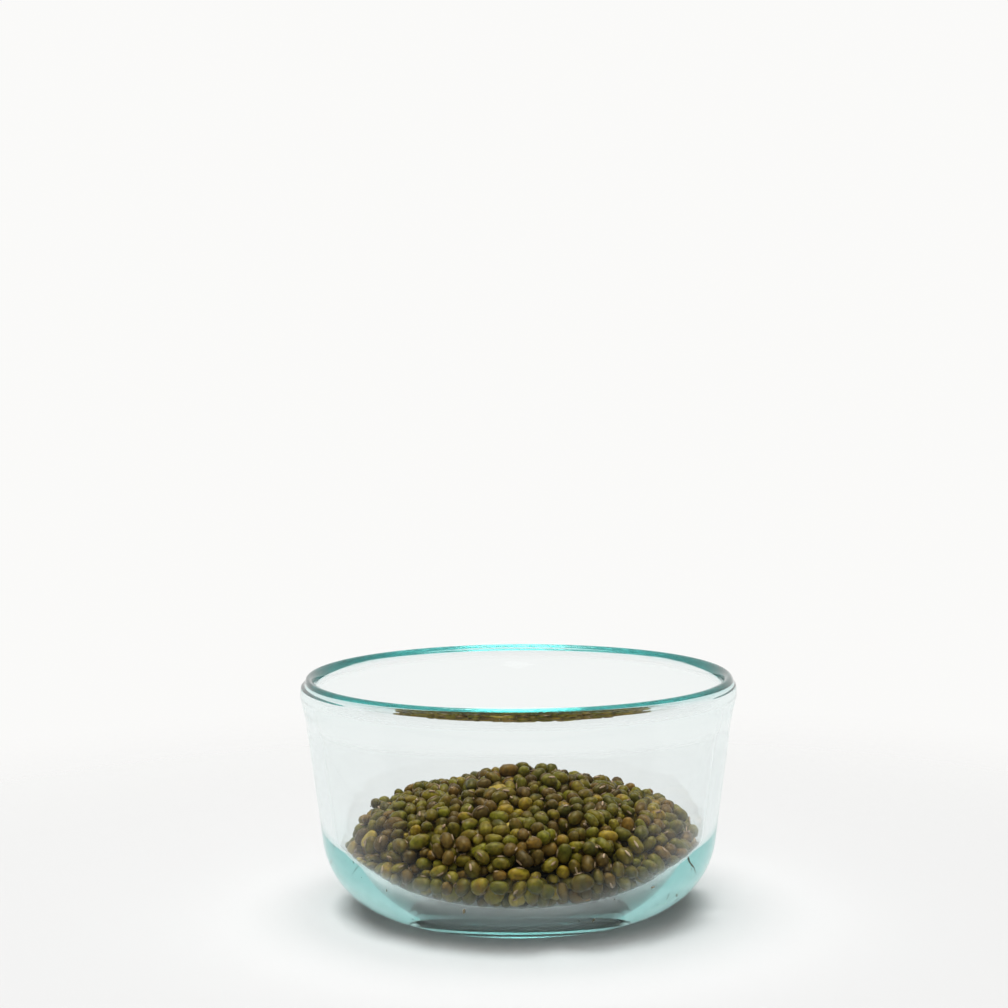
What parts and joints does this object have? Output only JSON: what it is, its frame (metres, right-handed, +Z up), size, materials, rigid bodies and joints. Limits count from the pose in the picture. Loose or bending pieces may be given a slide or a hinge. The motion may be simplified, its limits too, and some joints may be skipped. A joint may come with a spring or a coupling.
{
  "type": "bowl of mung beans",
  "caption": "Round clear glass bowl with a rolled rim and rounded base, holding a loose, gently domed heap of dry green mung beans.",
  "frame": {"origin": "centre of the bowl's foot, on the table", "axes": "+Z up along the bowl's axis, -Y towards the front; the heap of beans stands slightly higher towards +X"},
  "size_m": [0.125, 0.125, 0.067],
  "materials": {
    "clear_glass": "clear polished glass with a pale blue-green tint where it is thick",
    "bean_coat": "dry seed coats, olive green to khaki and brown, slightly glossy"
  },
  "bodies": {
    "root": {"bowl": "clear_glass", "mung_beans": "bean_coat"}
  },
  "joints": []
}
